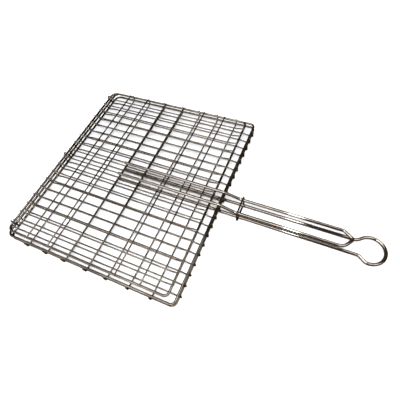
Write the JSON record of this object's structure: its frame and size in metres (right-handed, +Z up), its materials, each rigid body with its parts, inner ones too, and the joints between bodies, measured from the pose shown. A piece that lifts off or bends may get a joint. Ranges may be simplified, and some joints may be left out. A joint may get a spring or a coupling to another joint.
{
  "type": "grill basket",
  "caption": "Folding wire grill basket: a shallow welded mesh basket, a hinged flat mesh lid, two long wire handles and a sliding lock ring",
  "frame": {"origin": "middle of the whole object in plan, level with its lowest wire, the underside of the lock ring", "axes": "+X from the hinge towards the handles and the hanging loop, +Y to the left seen from the hinge looking along the handles, +Z up out of the basket"},
  "size_m": [0.7412, 0.469, 0.0463],
  "materials": {
    "frame_wire": "bright drawn steel wire, chrome plated",
    "mesh_wire": "bright drawn steel wire, chrome plated",
    "handle_wire": "polished thick steel wire, chrome plated",
    "ring_wire": "polished steel wire, chrome plated"
  },
  "bodies": {
    "basket": {"basket_rim": "frame_wire", "basket_lower_frame": "frame_wire", "basket_cross_wire_1": "mesh_wire", "basket_cross_wire_2": "mesh_wire", "basket_cross_wire_3": "mesh_wire", "basket_cross_wire_4": "mesh_wire", "basket_cross_wire_5": "mesh_wire", "basket_cross_wire_6": "mesh_wire", "basket_cross_wire_7": "mesh_wire", "basket_long_wire_01": "mesh_wire", "basket_long_wire_02": "mesh_wire", "basket_long_wire_03": "mesh_wire", "basket_long_wire_04": "mesh_wire", "basket_long_wire_05": "mesh_wire", "basket_long_wire_06": "mesh_wire", "basket_long_wire_07": "mesh_wire", "basket_long_wire_08": "mesh_wire", "basket_long_wire_09": "mesh_wire", "basket_long_wire_10": "mesh_wire", "basket_long_wire_11": "mesh_wire", "basket_long_wire_12": "mesh_wire", "basket_long_wire_13": "mesh_wire", "basket_long_wire_14": "mesh_wire", "basket_long_wire_15": "mesh_wire", "basket_long_wire_16": "mesh_wire", "basket_long_wire_17": "mesh_wire", "basket_long_wire_18": "mesh_wire", "basket_long_wire_19": "mesh_wire", "basket_long_wire_20": "mesh_wire", "hinge_eye_left": "ring_wire", "hinge_eye_middle": "ring_wire", "hinge_eye_right": "ring_wire", "bottom_handle": "handle_wire"},
    "lid": {"lid_frame": "frame_wire", "lid_cross_wire_1": "mesh_wire", "lid_cross_wire_2": "mesh_wire", "lid_cross_wire_3": "mesh_wire", "lid_cross_wire_4": "mesh_wire", "lid_cross_wire_5": "mesh_wire", "lid_cross_wire_6": "mesh_wire", "lid_long_wire_01": "mesh_wire", "lid_long_wire_02": "mesh_wire", "lid_long_wire_03": "mesh_wire", "lid_long_wire_04": "mesh_wire", "lid_long_wire_05": "mesh_wire", "lid_long_wire_06": "mesh_wire", "lid_long_wire_07": "mesh_wire", "lid_long_wire_08": "mesh_wire", "lid_long_wire_09": "mesh_wire", "lid_long_wire_10": "mesh_wire", "lid_long_wire_11": "mesh_wire", "lid_long_wire_12": "mesh_wire", "lid_long_wire_13": "mesh_wire", "lid_long_wire_14": "mesh_wire", "lid_long_wire_15": "mesh_wire", "lid_long_wire_16": "mesh_wire", "lid_long_wire_17": "mesh_wire", "lid_long_wire_18": "mesh_wire", "top_handle": "handle_wire"},
    "lock_ring": {"lock_ring": "ring_wire"}
  },
  "joints": [
    {"name": "lid_hinge", "type": "hinge", "parent": "basket", "child": "lid", "pos_m": [-0.36083, 0, 0.03455], "axis": [0, -1, 0], "range_deg": [0, 180]},
    {"name": "lock_ring_slide", "type": "slide", "parent": "basket", "child": "lock_ring", "axis": [1, 0, 0], "range_m": [0, 0.226]}
  ]
}
